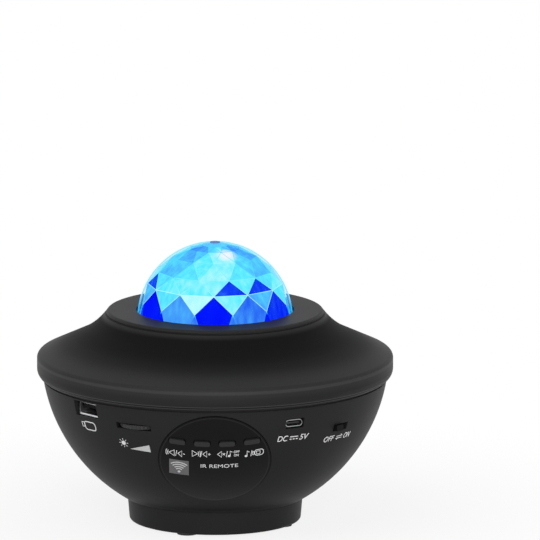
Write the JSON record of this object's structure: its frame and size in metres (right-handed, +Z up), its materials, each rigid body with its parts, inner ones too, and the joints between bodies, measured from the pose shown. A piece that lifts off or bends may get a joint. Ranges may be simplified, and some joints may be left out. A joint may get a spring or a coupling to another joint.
{
  "type": "night light projector",
  "caption": "Bowl-shaped night light projector with a faceted dome, control panel, dial, switch, sockets and a geared ripple lens.",
  "frame": {"origin": "centre of the bounding box at its bottom, where the rubber feet stand", "axes": "+Z up, -Y towards the user and the control panel, +X to the user's right"},
  "size_m": [0.168, 0.168, 0.1338],
  "materials": {
    "housing": "soft matt moulded plastic",
    "panel": "satin black",
    "keys": "satin",
    "window": "smoked, smooth",
    "dome": "clear, lit from below",
    "rubber": "matt",
    "inner_black": "moulded",
    "deck": "moulded white",
    "steel": "plain",
    "socket_metal": "nickel plated",
    "motor": "plain",
    "board": "solder mask",
    "chips": "moulded",
    "cans": "plain",
    "sink": "extruded",
    "led_board": "white coated",
    "led": "lit",
    "lens": "clear",
    "gears": "acetal",
    "brass": "turned",
    "ferrite": "ground",
    "cone": "paper",
    "gasket": "foam",
    "copper": "wound wire"
  },
  "bodies": {
    "casing": {"upper_cover": "housing", "lower_housing": "housing", "base_cup": "housing", "control_panel": "panel", "ir_window": "window", "dome_lens": "dome", "rubber_feet": "rubber", "dome_retaining_ring": "inner_black", "lens_tower": "inner_black", "laser_holder": "inner_black", "power_switch_body": "inner_black", "dial_potentiometer": "inner_black", "usb_a_tongue": "inner_black", "usb_power_tongue": "inner_black", "ir_receiver": "inner_black", "motor_bracket": "inner_black", "tact_switches": "inner_black", "optical_deck": "deck", "base_screws": "steel", "ring_screws": "steel", "control_screws": "steel", "board_screws": "steel", "deck_screws": "steel", "tower_screws": "steel", "speaker_frame": "steel", "speaker_yoke": "steel", "usb_a_shell": "socket_metal", "usb_power_shell": "socket_metal", "gear_motor": "motor", "main_board": "board", "control_board": "board", "board_chips": "chips", "board_capacitors": "cans", "heat_sink": "sink", "led_board": "led_board", "led_chips": "led", "led_lens": "lens", "laser_grating": "lens", "laser_module": "brass", "speaker_magnet": "ferrite", "speaker_gasket": "gasket"},
    "previous_key": {"button_previous": "keys"},
    "next_key": {"button_next": "keys"},
    "mute_key": {"button_mute": "keys"},
    "mode_key": {"button_mode": "keys"},
    "dial": {"brightness_dial": "keys"},
    "switch_knob": {"power_switch_knob": "keys"},
    "ripple_wheel": {"ripple_gear": "gears", "ripple_lens": "lens"},
    "pinion": {"drive_pinion": "gears", "motor_shaft": "steel"},
    "cone": {"speaker_cone": "cone", "voice_coil": "copper", "speaker_surround": "rubber"}
  },
  "joints": [
    {"name": "previous_press", "type": "slide", "parent": "casing", "child": "previous_key", "axis": [0, 0.8686, 0.4955], "range_m": [0, 0.0005], "stiffness_N_per_m": 400, "springref_m": -0.0005},
    {"name": "next_press", "type": "slide", "parent": "casing", "child": "next_key", "axis": [0, 0.8686, 0.4955], "range_m": [0, 0.0005], "stiffness_N_per_m": 400, "springref_m": -0.0005},
    {"name": "mute_press", "type": "slide", "parent": "casing", "child": "mute_key", "axis": [0, 0.8686, 0.4955], "range_m": [0, 0.0005], "stiffness_N_per_m": 400, "springref_m": -0.0005},
    {"name": "mode_press", "type": "slide", "parent": "casing", "child": "mode_key", "axis": [0, 0.8686, 0.4955], "range_m": [0, 0.0005], "stiffness_N_per_m": 400, "springref_m": -0.0005},
    {"name": "dial_turn", "type": "hinge", "parent": "casing", "child": "dial", "pos_m": [-0.03335, -0.06041, 0.0593], "axis": [0, 0, 1], "range_deg": [-135, 135]},
    {"name": "switch_slide", "type": "slide", "parent": "casing", "child": "switch_knob", "axis": [0.6521, 0.7581, 0], "range_m": [0, 0.004]},
    {"name": "wheel_turn", "type": "hinge", "parent": "casing", "child": "ripple_wheel", "pos_m": [0, 0, 0.0895], "axis": [0, 0, 1], "continuous": true},
    {"name": "pinion_turn", "type": "hinge", "parent": "casing", "child": "pinion", "pos_m": [0, 0.0336, 0.0895], "axis": [0, 0, 1], "continuous": true},
    {"name": "cone_travel", "type": "slide", "parent": "casing", "child": "cone", "axis": [0, 0, 1], "range_m": [-0.0005, 0.0005], "stiffness_N_per_m": 1500, "deforming": ["speaker_surround"]}
  ],
  "couplings": [
    {"joint": "pinion_turn", "follows": "wheel_turn", "ratio": -6}
  ]
}
